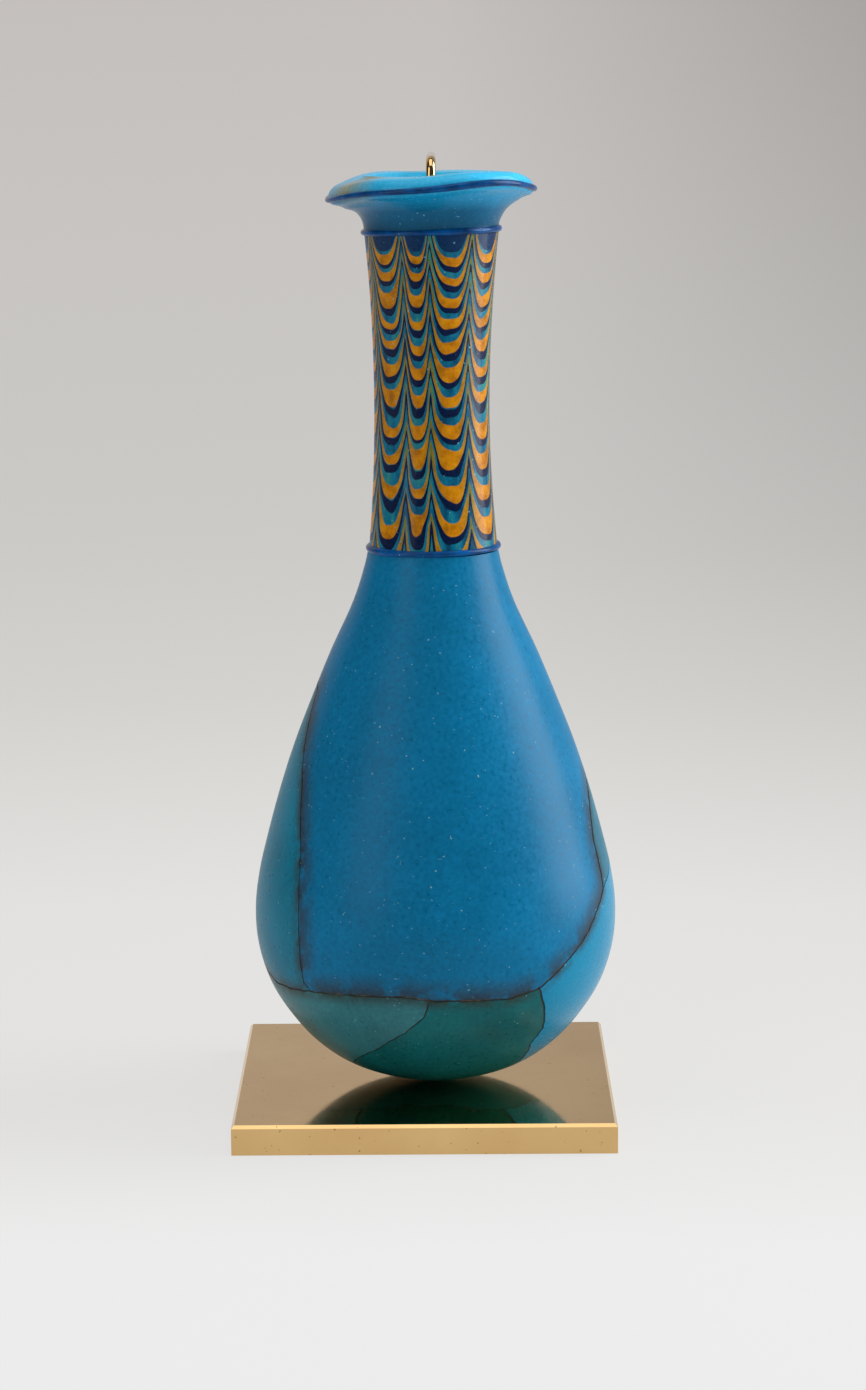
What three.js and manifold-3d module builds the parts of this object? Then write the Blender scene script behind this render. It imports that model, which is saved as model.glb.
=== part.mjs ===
// Core-formed glass bottle, mended from fragments, on its brass display mount.
// Millimetres, +Z up, origin at the middle of the base plate's underside, front towards -Y.
import * as THREE from 'three'
import { mergeVertices } from 'three/addons/utils/BufferGeometryUtils.js'
import Module from 'manifold-3d'

const wasm = await Module()
wasm.setup()

// Base plate
const plateSide = 63.5
const plateThick = 5.0
const plateChamfer = 0.5

// Bottle's place on the plate
const axisX = 2.0
const axisY = -2.6
const seatGap = 0.3

// Bottle body, outer profile as heights above its own foot point and radii
const bodyStations = [
  [0, 0], [1.2, 8.2], [4, 15.8], [8, 21.3], [13, 25.5], [18, 28.4], [24, 30.2], [30, 30.6],
  [36, 29.9], [42, 28.5], [50, 26.3], [58, 23.7], [66, 20.6], [74, 17.3], [82, 13.6], [88, 11.6],
]
const bodyTop = 92
const bodyTopRadius = 10.7
const bodyWall = 3.0
const bodyCentreHeight = 30

// Neck
const neckNarrowHeight = 115
const neckNarrowRadius = 9.6
const neckTop = 143.5
const neckTopRadius = 11.1
const neckBore = 6.4

// Rim
const rimRise = 7.5
const rimOverhang = 5.9
const crestRise = 2.2
const crestInset = 4.4
const rimEdgeThick = 1.3
const rimEdgeRound = 0.8
const flareRise = 3.4
const flareOut = 0.9
const funnelDepth = 5.4
const funnelFlare = 1.6
const rimEdgeHeight = neckTop + rimRise
const rimEdgeRadius = neckTopRadius + rimOverhang
const rimCrestHeight = rimEdgeHeight + crestRise
const rimCrestRadius = rimEdgeRadius - crestInset

// Dark threads laid round the glass, and the gap that touching pieces keep
const threadHeight = 1.0
const threadProud = 0.5
const threadDepth = 0.6
const gap = 0.3

// Combed neck decoration
const swags = 10
const combedRows = 11
const combedBottom = 95.5
const combedTop = 141
const swagDrop = 3.4
const combedDepth = 0.5
const combedWidth = 1.1

// Mended cracks
const crackWidth = 1.2
const crackReach = 8

// Hook and post
const wireRadius = 0.8
const boreClearance = 0.25
const tubeWall = 0.35
const postBehind = 0.5
const hookOverRim = 3.1
const hookLegInside = 4.2
const hookLegDrop = 12
const hookEngage = 34
const bendRadius = 2.2
const spigotDepth = 3.6
const postSocketBelow = 4
const postTopBelowHook = 5

// Facets
const roundSteps = 24
const outlineStride = 5
const wireSides = 8
const wireSteps = 28

const group = new THREE.Group()
const plateTop = plateThick
const bottleFoot = plateTop + seatGap

function material(colour, metalness, roughness) {
  return new THREE.MeshStandardMaterial({ color: colour, metalness, roughness })
}

const looks = {
  brass: material(0xcfab6d, 1, 0.25),
  turquoise: material(0x0a6a8e, 0, 0.25),
  fill: material(0x0a7c9c, 0, 0.2),
  repair: material(0x5d6a60, 0, 0.7),
  yellow: material(0xc0820c, 0, 0.4),
  navy: material(0x081e4c, 0, 0.3),
}

function add(name, geometry, look) {
  const mesh = new THREE.Mesh(geometry, look)
  mesh.name = name
  group.add(mesh)
}

// Solid operations
function toSolid(geometry) {
  const bare = geometry.clone()
  bare.deleteAttribute('normal')
  bare.deleteAttribute('uv')
  const merged = mergeVertices(bare, 1e-5)
  return new wasm.Manifold(new wasm.Mesh({
    numProp: 3,
    vertProperties: new Float32Array(merged.attributes.position.array),
    triVerts: new Uint32Array(merged.index.array),
  }))
}

function toGeometry(solid) {
  const mesh = solid.getMesh()
  const geometry = new THREE.BufferGeometry()
  geometry.setAttribute('position', new THREE.BufferAttribute(new Float32Array(mesh.vertProperties), 3))
  geometry.setIndex(new THREE.BufferAttribute(new Uint32Array(mesh.triVerts), 1))
  geometry.computeVertexNormals()
  return geometry
}

// Closed ring of revolution about the bottle's axis, from [radius, height above the foot] pairs
function turned(points, lift = null) {
  const rings = points.length
  const positions = []
  const index = []
  for (let step = 0; step < roundSteps; step++) {
    const angle = step / roundSteps * 2 * Math.PI
    for (const [radius, height] of points) {
      const raised = height + (lift ? lift(angle, radius, height) : 0)
      positions.push(axisX + radius * Math.sin(angle), axisY - radius * Math.cos(angle), bottleFoot + raised)
    }
  }
  for (let step = 0; step < roundSteps; step++) {
    const here = step * rings
    const next = (step + 1) % roundSteps * rings
    for (let i = 0; i < rings; i++) {
      const j = (i + 1) % rings
      index.push(here + i, next + i, next + j, here + i, next + j, here + j)
    }
  }
  const geometry = new THREE.BufferGeometry()
  geometry.setAttribute('position', new THREE.Float32BufferAttribute(positions, 3))
  geometry.setIndex(index)
  return geometry
}

// Radius of the body at a height above the foot, by a smooth curve through its stations
const bodyCurve = new THREE.SplineCurve(
  [...bodyStations, [bodyTop, bodyTopRadius]].map(([height, radius]) => new THREE.Vector2(radius, height)))
const bodyOutline = bodyCurve.getPoints(64)

function bodyRadius(height) {
  for (let i = 1; i < bodyOutline.length; i++) {
    const low = bodyOutline[i - 1]
    const high = bodyOutline[i]
    if (height <= high.y) {
      return low.x + (high.x - low.x) * (height - low.y) / (high.y - low.y)
    }
  }
  return bodyTopRadius
}

// Radius of the neck, narrowest part-way up
function neckRadius(height) {
  const below = height < neckNarrowHeight
  const span = below ? neckNarrowHeight - bodyTop : neckTop - neckNarrowHeight
  const swell = (below ? bodyTopRadius : neckTopRadius) - neckNarrowRadius
  const share = Math.abs(height - neckNarrowHeight) / span
  return neckNarrowRadius + swell * share * share
}

// Rise and fall of the lip round the mouth
function lipWave(angle) {
  return -0.25 + 0.8 * Math.sin(angle) + 0.35 * Math.sin(2 * angle)
    + 0.65 * Math.cos(2 * angle) - 0.3 * Math.cos(4 * angle)
}

function addPlate() {
  const inset = plateSide / 2 - plateChamfer
  const square = new THREE.Shape()
  square.moveTo(-inset, -inset)
  square.lineTo(inset, -inset)
  square.lineTo(inset, inset)
  square.lineTo(-inset, inset)
  const top = new THREE.ExtrudeGeometry(square, {
    depth: plateThick - 2 * plateChamfer, bevelEnabled: true, bevelSegments: 1,
    bevelThickness: plateChamfer, bevelSize: plateChamfer, steps: 1,
  })
  top.translate(0, 0, plateChamfer)
  const block = new THREE.BoxGeometry(plateSide, plateSide, plateThick / 2)
  block.translate(0, 0, plateThick / 4)
  const hole = new THREE.CylinderGeometry(wireRadius + gap, wireRadius + gap, spigotDepth * 2, 16)
  hole.rotateX(Math.PI / 2)
  hole.translate(postX, postY, plateTop)
  add('base_plate', toGeometry(toSolid(top).add(toSolid(block)).subtract(toSolid(hole))), looks.brass)
}

// Post: a tube closed below, with a spigot in the plate's hole
const tubeBore = wireRadius + boreClearance
const tubeRadius = tubeBore + tubeWall
const postX = axisX
const widestRadius = Math.max(...bodyOutline.map((point) => point.x))
const postY = axisY + widestRadius + postBehind + tubeRadius
const wireTopHeight = bottleFoot + rimCrestHeight + hookOverRim - seatGap
const armHeight = wireTopHeight - wireRadius
const postTop = wireTopHeight - postTopBelowHook
const wireFoot = postTop - hookEngage

function addPost() {
  const foot = plateTop + gap
  const outline = [
    [0, plateTop - spigotDepth + gap], [wireRadius, plateTop - spigotDepth + gap], [wireRadius, foot],
    [tubeRadius, foot], [tubeRadius, postTop], [tubeBore, postTop],
    [tubeBore, wireFoot - postSocketBelow], [0, wireFoot - postSocketBelow],
  ].map(([radius, height]) => new THREE.Vector2(radius, height))
  const post = new THREE.LatheGeometry(outline, 12)
  post.rotateX(Math.PI / 2)
  post.translate(postX, postY, 0)
  add('post', toGeometry(toSolid(post)), looks.brass)
}

function addHook() {
  const legY = axisY + hookLegInside
  const route = new THREE.CurvePath()
  const at = (y, z) => new THREE.Vector3(postX, y, z)
  route.add(new THREE.LineCurve3(at(postY, wireFoot), at(postY, armHeight - bendRadius)))
  route.add(new THREE.QuadraticBezierCurve3(
    at(postY, armHeight - bendRadius), at(postY, armHeight), at(postY - bendRadius, armHeight)))
  route.add(new THREE.LineCurve3(at(postY - bendRadius, armHeight), at(legY + bendRadius, armHeight)))
  route.add(new THREE.QuadraticBezierCurve3(
    at(legY + bendRadius, armHeight), at(legY, armHeight), at(legY, armHeight - bendRadius)))
  route.add(new THREE.LineCurve3(at(legY, armHeight - bendRadius), at(legY, armHeight - hookLegDrop)))
  const section = new THREE.Shape()
  for (let i = 0; i < wireSides; i++) {
    const angle = (i + 0.5) / wireSides * 2 * Math.PI
    const x = wireRadius * Math.cos(angle)
    const y = wireRadius * Math.sin(angle)
    if (i === 0) section.moveTo(x, y)
    else section.lineTo(x, y)
  }
  const wire = new THREE.ExtrudeGeometry(section, { steps: wireSteps, extrudePath: route })
  add('hook_wire', toGeometry(toSolid(wire)), looks.brass)
}

// A thread of glass seated in a groove: its ring, and the groove's floor radius
function threadRing(height, surface) {
  const inner = surface - threadDepth
  const outer = surface + threadProud
  const half = threadHeight / 2
  return [
    [inner, height - half], [outer - 0.3, height - half], [outer, height - half + 0.3],
    [outer, height + half - 0.3], [outer - 0.3, height + half], [inner, height + half],
  ]
}

const grooveDepth = threadDepth + gap
const grooveHalf = threadHeight / 2 + gap
const neckBaseThread = bodyTop - grooveHalf + 0.1
const collarThread = neckTop + grooveHalf - 0.1

// Body: glass wall of revolution, cut along the mended cracks
function bodyShell() {
  const outer = bodyOutline.filter((point, i) => i % outlineStride === 0 && point.x > 0.01
    && point.y < neckBaseThread - grooveHalf - 0.5)
  const points = [[0.02, 0.0]]
  for (const point of outer) points.push([point.x, point.y])
  const grooveFloor = bodyTopRadius - grooveDepth
  points.push([bodyRadius(neckBaseThread - grooveHalf), neckBaseThread - grooveHalf])
  points.push([grooveFloor, neckBaseThread - grooveHalf])
  points.push([grooveFloor, bodyTop - gap / 2])
  points.push([neckBore, bodyTop - gap / 2])
  points.push([neckBore, bodyTop - bodyWall - 1])
  for (const point of [...outer].reverse()) {
    const tangent = bodyTangent(point.y)
    const radius = point.x - bodyWall * tangent.y
    const height = point.y + bodyWall * tangent.x
    if (radius > 1 && height > bodyWall && height < bodyTop - bodyWall - 1.5) {
      points.push([Math.max(radius, neckBore), height])
    }
  }
  points.push([0.02, bodyWall])
  return toSolid(turned(points))
}

function bodyTangent(height) {
  const step = 0.5
  const low = Math.max(0, height - step)
  const rise = new THREE.Vector2(bodyRadius(height + step) - bodyRadius(low), height + step - low)
  return rise.normalize()
}

// Cracks as [degrees round from the front, height above the foot] along the surface
const crackLines = {
  left: [[-80, 68], [-60, 53], [-52, 43.6], [-48.5, 35.8], [-47, 27.5], [-47.5, 21.4], [-45, 20.2]],
  belly: [[-120, 24], [-98, 21.5], [-82, 20.7], [-68, 19.3], [-56, 19.5], [-45, 20.2], [-28, 20.9],
    [-11, 21.4], [-2, 20.8], [11, 20.6], [24, 20.3], [35, 21.4]],
  right: [[35, 21.4], [43, 24.3], [52, 27.7], [61, 31.8], [69, 35], [69.5, 38.4], [70, 43.4],
    [75, 47.9], [83, 51.5]],
  second: [[69, 35], [90, 38.6], [125, 33], [160, 25]],
  shoulder: [[83, 51.5], [112, 60], [145, 66], [180, 69], [220, 71], [255, 70], [280, 68]],
  backBelly: [[160, 25], [200, 22], [240, 24]],
  backSeam: [[180, 69], [172, 52], [176, 38], [160, 25]],
  lowerRight: [[35, 21.4], [39.5, 17.4], [44, 13], [42.5, 10], [48, 6.3], [52, 3.2]],
  lowerMiddle: [[-2, 20.8], [-4, 17.6], [-11, 14.4], [-26, 10], [-44.5, 6.4], [-60, 3.4]],
  foot: [[-60, 3.4], [-30, 2.0], [10, 1.9], [52, 3.2]],
  lowerBack: [[160, 25], [148, 14], [120, 7], [85, 4], [52, 3.2]],
  lowerSide: [[-120, 24], [-112, 12], [-92, 6], [-60, 3.4]],
}

function crackPoint([degrees, height]) {
  const angle = degrees * Math.PI / 180
  const radius = bodyRadius(height)
  return new THREE.Vector3(
    axisX + radius * Math.sin(angle), axisY - radius * Math.cos(angle), bottleFoot + height)
}

// One curtain through the wall along a crack, ruled from the middle of the belly
function curtain(line, width, overrun) {
  const centre = new THREE.Vector3(axisX, axisY, bottleFoot + bodyCentreHeight)
  const points = line.map(crackPoint)
  const first = points[0].clone().sub(points[1]).setLength(overrun).add(points[0])
  const last = points.at(-1).clone().sub(points.at(-2)).setLength(overrun).add(points.at(-1))
  points[0] = first
  points[points.length - 1] = last
  const corners = []
  points.forEach((point, i) => {
    const before = points[Math.max(0, i - 1)]
    const after = points[Math.min(points.length - 1, i + 1)]
    const outward = point.clone().sub(centre).normalize()
    const side = new THREE.Vector3().crossVectors(after.clone().sub(before), outward).setLength(width / 2)
    const inner = point.clone().addScaledVector(outward, -crackReach)
    const outer = point.clone().addScaledVector(outward, crackReach / 2)
    corners.push(
      inner.clone().add(side), inner.clone().sub(side), outer.clone().sub(side), outer.clone().add(side))
  })
  const index = []
  for (let i = 0; i + 1 < points.length; i++) {
    for (let k = 0; k < 4; k++) {
      const a = i * 4 + k
      const b = i * 4 + (k + 1) % 4
      index.push(a, b, b + 4, a, b + 4, a + 4)
    }
  }
  const end = (points.length - 1) * 4
  index.push(0, 3, 2, 0, 2, 1, end, end + 1, end + 2, end, end + 2, end + 3)
  const geometry = new THREE.BufferGeometry()
  geometry.setAttribute('position', new THREE.Float32BufferAttribute(corners.flatMap((c) => c.toArray()), 3))
  geometry.setIndex(index)
  return toSolid(geometry)
}

function curtains(width, overrun) {
  return Object.values(crackLines)
    .map((line) => curtain(line, width, overrun))
    .reduce((all, one) => all.add(one))
}

// Fragments, each named with a place well inside it
const fragmentHearts = {
  body_main_shard: [0, 45],
  left_side_shard: [-110, 45],
  right_side_shard: [125, 48],
  lower_right_fill: [90, 18],
  lower_front_shard: [18, 11],
  lower_left_shard: [-60, 12],
  lower_back_shard: [-165, 12],
}

function addBody() {
  const shell = bodyShell()
  const pieces = shell.subtract(curtains(crackWidth, crackWidth)).decompose()
    .filter((piece) => piece.volume() > 5)
  for (const [name, heart] of Object.entries(fragmentHearts)) {
    const target = crackPoint(heart)
    let best = null
    let bestDistance = Infinity
    for (const piece of pieces) {
      const vertices = piece.getMesh().vertProperties
      for (let i = 0; i < vertices.length; i += 3) {
        const distance = Math.hypot(
          vertices[i] - target.x, vertices[i + 1] - target.y, vertices[i + 2] - target.z)
        if (distance < bestDistance) {
          bestDistance = distance
          best = piece
        }
      }
    }
    add(name, toGeometry(best), name === 'lower_right_fill' ? looks.fill : looks.turquoise)
  }
  const strips = shell.intersect(curtains(crackWidth - 2 * gap, 0.2)).decompose()
    .sort((a, b) => b.volume() - a.volume())
  add('joint_fill', toGeometry(strips[0]), looks.repair)
}

function addNeck() {
  const floor = combedDepth + gap
  const low = combedBottom - combedWidth
  const high = combedTop + combedWidth
  const points = [[neckBore, bodyTop + gap / 2], [bodyTopRadius - grooveDepth, bodyTop + gap / 2]]
  points.push([bodyTopRadius - grooveDepth, neckBaseThread + grooveHalf])
  points.push([neckRadius(neckBaseThread + grooveHalf) - floor, neckBaseThread + grooveHalf])
  const steps = 8
  for (let i = 0; i <= steps; i++) {
    const height = low + (high - low) * i / steps
    points.push([neckRadius(height) - floor, height])
  }
  points.push([neckTopRadius - floor, collarThread - grooveHalf])
  points.push([neckTopRadius - grooveDepth - floor / 2, collarThread - grooveHalf])
  points.push([neckTopRadius - grooveDepth - floor / 2, neckTop - gap / 2])
  points.push([neckBore, neckTop - gap / 2])
  add('neck', toGeometry(toSolid(turned(points))), looks.turquoise)
}

// A thread wound down the neck and combed into swags, as one closed ribbon
function combedRibbon(phase) {
  const stepsPerSwag = 2
  const perTurn = swags * stepsPerSwag
  const pitch = (combedTop - combedBottom) / combedRows
  const total = perTurn * combedRows
  const positions = []
  const index = []
  for (let step = 0; step <= total; step++) {
    const turns = step / perTurn
    const angle = turns * 2 * Math.PI
    const across = step % stepsPerSwag / stepsPerSwag
    const sag = swagDrop * Math.sin(Math.PI * across)
    const height = combedTop - (turns + phase) * pitch * (1 - 1 / combedRows) - sag
    const outer = neckRadius(height)
    const half = combedWidth / 2
    const inner = outer - combedDepth
    for (const [radius, up] of [[inner, -half], [outer, -half], [outer, half], [inner, half]]) {
      positions.push(
        axisX + radius * Math.sin(angle), axisY - radius * Math.cos(angle), bottleFoot + height + up)
    }
  }
  for (let step = 0; step < total; step++) {
    for (let k = 0; k < 4; k++) {
      const a = step * 4 + k
      const b = step * 4 + (k + 1) % 4
      index.push(a, b + 4, b, a, a + 4, b + 4)
    }
  }
  const end = total * 4
  index.push(0, 1, 2, 0, 2, 3, end, end + 2, end + 1, end, end + 3, end + 2)
  const geometry = new THREE.BufferGeometry()
  geometry.setAttribute('position', new THREE.Float32BufferAttribute(positions, 3))
  geometry.setIndex(index)
  return geometry
}

function addTrails() {
  add('yellow_combed_trail', toGeometry(toSolid(combedRibbon(0))), looks.yellow)
  add('blue_combed_trail', toGeometry(toSolid(combedRibbon(0.45))), looks.navy)
  add('neck_base_thread', toGeometry(toSolid(turned(threadRing(neckBaseThread, bodyTopRadius)))), looks.navy)
  add('collar_thread', toGeometry(toSolid(turned(threadRing(collarThread, neckTopRadius)))), looks.navy)
  const edge = rimEdgeRadius
  const ring = threadRing(rimEdgeHeight, edge + threadDepth - 0.1)
  add('rim_edge_thread', toGeometry(toSolid(turned(ring, (angle) => lipWave(angle)))), looks.navy)
}

function addRim() {
  const edge = rimEdgeRadius - gap - 0.1
  const bottom = neckTop + gap / 2
  const groove = neckTopRadius - grooveDepth - (combedDepth + gap) / 2
  const points = [
    [neckBore, bottom], [groove, bottom], [groove, collarThread + grooveHalf],
    [neckTopRadius, collarThread + grooveHalf], [neckTopRadius + flareOut, neckTop + flareRise],
    [(neckTopRadius + edge) / 2, (neckTop + flareRise + rimEdgeHeight) / 2],
    [edge - rimEdgeRound, rimEdgeHeight - rimEdgeThick],
    [edge, rimEdgeHeight - rimEdgeThick / 2], [edge, rimEdgeHeight + rimEdgeThick / 2],
    [edge - rimEdgeRound, rimEdgeHeight + rimEdgeThick],
    [rimCrestRadius, rimCrestHeight],
    [neckBore + funnelFlare, rimCrestHeight - funnelDepth / 2], [neckBore, rimCrestHeight - funnelDepth],
  ]
  const reach = edge - neckTopRadius
  const lift = (angle, radius, height) => {
    const share = Math.min(1, Math.max(0, (radius - neckTopRadius) / reach))
    return height >= neckTop + flareRise ? lipWave(angle) * Math.sqrt(share) : 0
  }
  add('rim', toGeometry(toSolid(turned(points, lift))), looks.turquoise)
}

addPlate()
addPost()
addBody()
addNeck()
addTrails()
addRim()
addHook()

export default group
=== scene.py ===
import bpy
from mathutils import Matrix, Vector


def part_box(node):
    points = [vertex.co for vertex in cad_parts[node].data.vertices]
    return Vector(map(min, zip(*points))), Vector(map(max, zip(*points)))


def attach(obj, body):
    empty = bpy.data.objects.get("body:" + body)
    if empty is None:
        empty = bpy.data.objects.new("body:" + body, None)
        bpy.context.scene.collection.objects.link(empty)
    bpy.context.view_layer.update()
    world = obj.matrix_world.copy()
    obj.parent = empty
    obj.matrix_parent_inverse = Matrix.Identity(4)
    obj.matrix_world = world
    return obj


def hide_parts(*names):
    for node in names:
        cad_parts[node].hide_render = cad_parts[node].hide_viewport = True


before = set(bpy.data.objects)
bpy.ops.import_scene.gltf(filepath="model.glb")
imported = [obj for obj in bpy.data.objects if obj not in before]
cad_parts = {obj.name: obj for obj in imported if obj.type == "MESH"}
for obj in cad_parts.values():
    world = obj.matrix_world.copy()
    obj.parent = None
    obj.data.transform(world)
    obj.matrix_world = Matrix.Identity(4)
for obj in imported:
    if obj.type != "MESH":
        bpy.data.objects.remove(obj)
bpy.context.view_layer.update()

import math
import random

import bmesh
import bpy
from mathutils import Matrix, Vector
from mathutils.kdtree import KDTree

random.seed(7)
mm = 0.001
quarterTurn = math.pi / 2
fullTurn = 2 * math.pi

# The glass body: where its axis and foot stand, and its outline as heights above the foot and radii.
# Lengths in these dictionaries are in millimetres.
body = {
    "axisX": 2.0, "axisY": -2.6, "foot": 5.3,
    "outline": [
        (0, 0), (1.2, 8.2), (4, 15.8), (8, 21.3), (13, 25.5), (18, 28.4), (24, 30.2), (30, 30.6),
        (36, 29.9), (42, 28.5), (50, 26.3), (58, 23.7), (66, 20.6), (74, 17.3), (82, 13.6), (88, 11.6),
        (92, 10.7),
    ],
    "top": 92, "topRadius": 10.7, "topCut": 91.0, "wall": 3.0, "bore": 6.4, "pole": 0.02, "perSpan": 7,
    "steps": 300, "skinFrom": 0.3, "insideFrom": 6, "insideBelowTop": 1.5, "insideLeast": 1, "boreStart": 1,
    "floorGap": 0.5,
}


# Linear colour of an sRGB hex value
def toLinear(hexColour):
    channels = [int(hexColour[i:i + 2], 16) / 255 for i in (1, 3, 5)]
    linear = [c / 12.92 if c <= 0.04045 else ((c + 0.055) / 1.055) ** 2.4 for c in channels]
    return (*linear, 1)


def grey(value):
    return (value, value, value, 1)


def newMaterial(name):
    material = bpy.data.materials.new(name)
    material.use_nodes = True
    tree = material.node_tree
    return material, tree, tree.nodes["Principled BSDF"]


# Links each input to the output it is given, or sets it to the value
def feed(tree, node, inputs):
    for name, value in inputs.items():
        if isinstance(value, bpy.types.NodeSocket):
            tree.links.new(value, node.inputs[name])
        else:
            node.inputs[name].default_value = value


# Adds a node with its settings and links, and gives back one of its outputs
def addNode(tree, kind, inputs, output=0, stops=None, **settings):
    node = tree.nodes.new("ShaderNode" + kind)
    for name, value in settings.items():
        setattr(node, name, value)
    feed(tree, node, inputs)
    if stops:
        elements = node.color_ramp.elements
        while len(elements) < len(stops):
            elements.new(0.5)
        for element, (position, colour) in zip(elements, stops):
            element.position = position
            element.color = colour
    return node.outputs[output]


# Inputs of a noise whose features are about sizeMm across
def noiseOf(place, sizeMm, detail):
    return {"Vector": place, "Scale": 1000 / sizeMm, "Detail": detail, "Roughness": 0.55}


cover = {"data_type": "RGBA"}  # a Mix node that lays one colour over another
tint = {"data_type": "RGBA", "blend_type": "MULTIPLY"}  # a Mix node that multiplies them

glassDefaults = {
    "cloudMm": 14, "grainMm": 0.7, "speckMm": 0.55, "speckAt": 0.752, "speckEdge": 0.02,
    "speckColour": "#6f9fae", "bumpMm": 0.12, "bump": 0.25, "shine": 0.10, "coatRough": 0.09,
}


# Weathered opaque glass: cloudy zones, fine grain, pale specks, and a gloss that burial has dulled
def weatherGlass(tree, shader, colour, look):
    look = {**glassDefaults, **look}
    place = addNode(tree, "TexCoord", {}, "Object")
    broad = addNode(tree, "TexNoise", noiseOf(place, look["cloudMm"], 4), "Fac")
    fine = addNode(tree, "TexNoise", noiseOf(place, look["grainMm"], 5), "Fac")
    pitted = addNode(tree, "TexNoise", noiseOf(place, look["speckMm"], 1), "Fac")
    cloud = addNode(tree, "ValToRGB", {"Fac": broad}, "Color",
                    [(0.35, grey(1 - look["cloud"])), (0.65, grey(1 + look["cloud"]))])
    grain = addNode(tree, "ValToRGB", {"Fac": fine}, "Color",
                    [(0.3, grey(1 - look["grain"])), (0.7, grey(1 + look["grain"]))])
    speck = addNode(tree, "ValToRGB", {"Fac": pitted}, "Color",
                    [(look["speckAt"], grey(0)), (look["speckAt"] + look["speckEdge"], grey(1))])
    clouded = addNode(tree, "Mix", {"Factor": 1.0, 6: colour, 7: cloud}, 2, **tint)
    grained = addNode(tree, "Mix", {"Factor": 1.0, 6: clouded, 7: grain}, 2, **tint)
    grit = toLinear(look["speckColour"])
    specked = addNode(tree, "Mix", {"Factor": speck, 6: grained, 7: grit}, 2, **cover)
    rough = addNode(tree, "ValToRGB", {"Fac": fine}, "Color",
                    [(0.3, grey(look["rough"] * 0.75)), (0.75, grey(look["rough"] * 1.35))])
    swells = addNode(tree, "Math", {0: broad, 1: 2.0}, operation="MULTIPLY")
    relief = addNode(tree, "Math", {0: fine, 1: 0.35, 2: swells}, operation="MULTIPLY_ADD")
    depth = look["bumpMm"] * mm
    bump = addNode(tree, "Bump", {"Height": relief, "Strength": look["bump"], "Distance": depth})
    feed(tree, shader, {
        "Base Color": specked, "Roughness": rough, "Normal": bump, "IOR": 1.5,
        "Specular IOR Level": look["shine"], "Coat Weight": look["coat"],
        "Coat Roughness": look["coatRough"],
    })


# One dictionary for each fragment. heart is a place on it, as degrees round from the front and a height.
fragments = {
    "body_main_shard": {"heart": (0, 45), "colour": "#036892", "cloud": 0.08, "grain": 0.16,
                        "rough": 0.34, "coat": 0.0, "dirtMm": 4.2},
    "left_side_shard": {"heart": (-110, 45), "colour": "#096c86", "cloud": 0.14, "grain": 0.14,
                        "rough": 0.34, "coat": 0.0, "dirtMm": 2.2},
    "right_side_shard": {"heart": (125, 48), "colour": "#20657c", "cloud": 0.16, "grain": 0.12,
                         "rough": 0.36, "coat": 0.0, "dirtMm": 2.2},
    "lower_right_fill": {"heart": (90, 18), "colour": "#0a7ba0", "cloud": 0.05, "grain": 0.04,
                         "rough": 0.26, "coat": 0.03, "dirtMm": 2.2},
    "lower_front_shard": {"heart": (18, 11), "colour": "#0b5a5e", "cloud": 0.22, "grain": 0.16,
                          "rough": 0.32, "coat": 0.0, "dirtMm": 2.2},
    "lower_left_shard": {"heart": (-60, 12), "colour": "#2f6c74", "cloud": 0.22, "grain": 0.14,
                         "rough": 0.34, "coat": 0.0, "dirtMm": 2.2},
    "lower_back_shard": {"heart": (-165, 12), "colour": "#0f6a80", "cloud": 0.14, "grain": 0.14,
                         "rough": 0.36, "coat": 0.05, "dirtMm": 2.2},
}
crackDirt = {"colour": "#2f2415", "patchMm": 3.5, "cover": 0.85}


# Core-formed opaque glass, or the resin that imitates it: dense colour, with brown dirt by the cracks
def coredGlass(name, look):
    material, tree, shader = newMaterial(name)
    place = addNode(tree, "TexCoord", {}, "Object")
    near = addNode(tree, "Attribute", {}, "Fac", attribute_name="crackDirt")
    blotch = addNode(tree, "TexNoise", noiseOf(place, crackDirt["patchMm"], 4), "Fac")
    patch = addNode(tree, "ValToRGB", {"Fac": blotch}, "Color", [(0.34, grey(0.2)), (0.5, grey(1))])
    spread = addNode(tree, "Math", {0: near, 1: patch}, operation="MULTIPLY")
    dirt = addNode(tree, "Math", {0: spread, 1: crackDirt["cover"]}, operation="MULTIPLY")
    clean = toLinear(look["colour"])
    soiled = addNode(tree, "Mix", {"Factor": dirt, 6: clean, 7: toLinear(crackDirt["colour"])}, 2, **cover)
    weatherGlass(tree, shader, soiled, look)
    return material


# Rows are counted down the neck: a yellow trail lies on each whole number, a dark blue one below it
comb = {
    "yellow": ["#985c03", "#bb7605", "#cb880b"], "cusp": "#5f6a2a", "navy": "#06183a",
    "ground": ["#04405f", "#0a6a86", "#2f7f74"], "aboveRows": "#052c52",
    "sway": 0.9, "swayMm": 8.0, "ripple": 0.08, "rippleMm": 2.2,
    "yellowHalf": 0.06, "yellowSwell": 0.38, "yellowMm": 9.0, "cuspThin": 0.10, "yellowEdge": 30.0,
    "navyPlace": 0.86, "navyHalf": 0.08, "navySwell": 0.22, "navyMm": 7.0, "navyEdge": 18.0,
    "cloud": 0.05, "grain": 0.08, "rough": 0.28, "coat": 0.05,
}


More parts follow.
